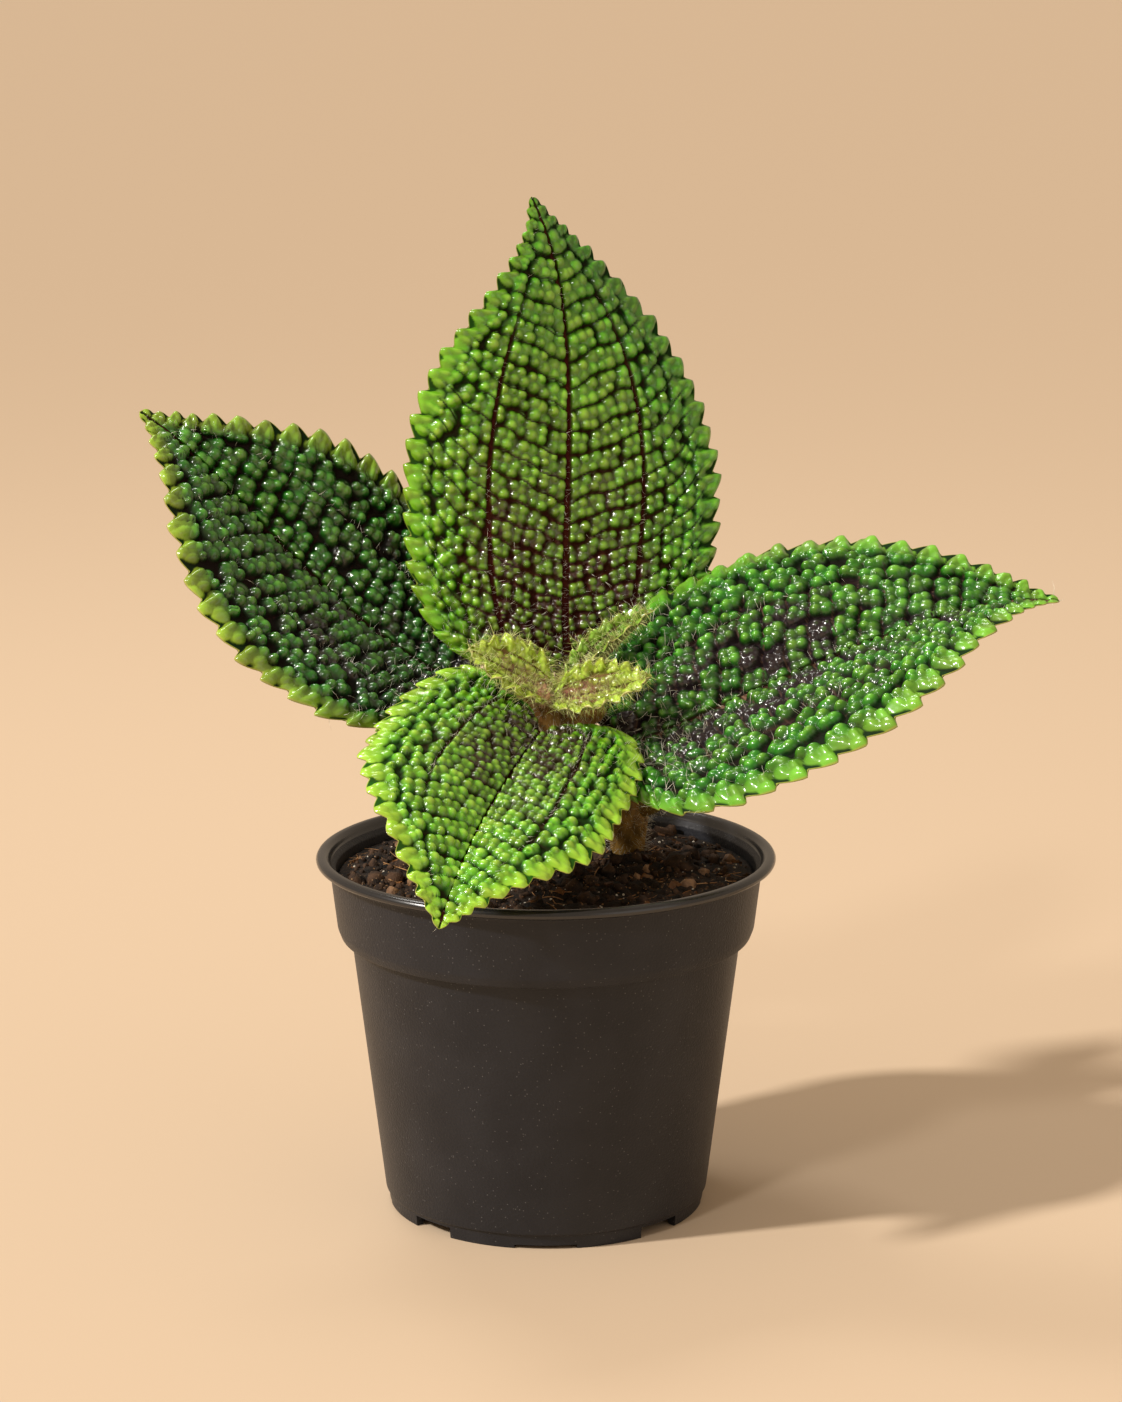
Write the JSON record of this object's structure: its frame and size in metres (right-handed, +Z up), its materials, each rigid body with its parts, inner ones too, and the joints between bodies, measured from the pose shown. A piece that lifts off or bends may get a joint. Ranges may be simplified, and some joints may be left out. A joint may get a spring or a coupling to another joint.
{
  "type": "potted friendship plant",
  "caption": "Small houseplant with deeply puckered, toothed leaves, growing in a round black nursery pot with drainage notches.",
  "frame": {"origin": "centre of the pot's underside, on the face of its middle foot", "axes": "+Z up through the pot; -Y to the front, over which the front leaf hangs; +X to the right as seen from the front"},
  "size_m": [0.1803, 0.1073, 0.1955],
  "materials": {
    "pot": "charcoal moulded plastic, fine grained, with a smoother lip",
    "soil": "moist dark peat with bark crumbs and white specks",
    "stem": "brown-olive hairy stem",
    "leaf_back": "waxy mid green with maroon veins",
    "leaf_left": "waxy dark green with maroon-black grooves and yellow-green teeth",
    "leaf_right": "waxy dark green with a purple-black middle",
    "leaf_front": "waxy bright green with maroon veins at the base",
    "young_leaf": "hairy yellow-green young leaf",
    "growing_tip": "hairy tan bud"
  },
  "bodies": {
    "root": {"pot": "pot", "soil": "soil", "stem": "stem", "leaf_back": "leaf_back", "leaf_left": "leaf_left", "leaf_right": "leaf_right", "leaf_front": "leaf_front", "young_leaf_left": "young_leaf", "young_leaf_right": "young_leaf", "young_leaf_folded": "young_leaf", "growing_tip": "growing_tip"}
  },
  "joints": []
}
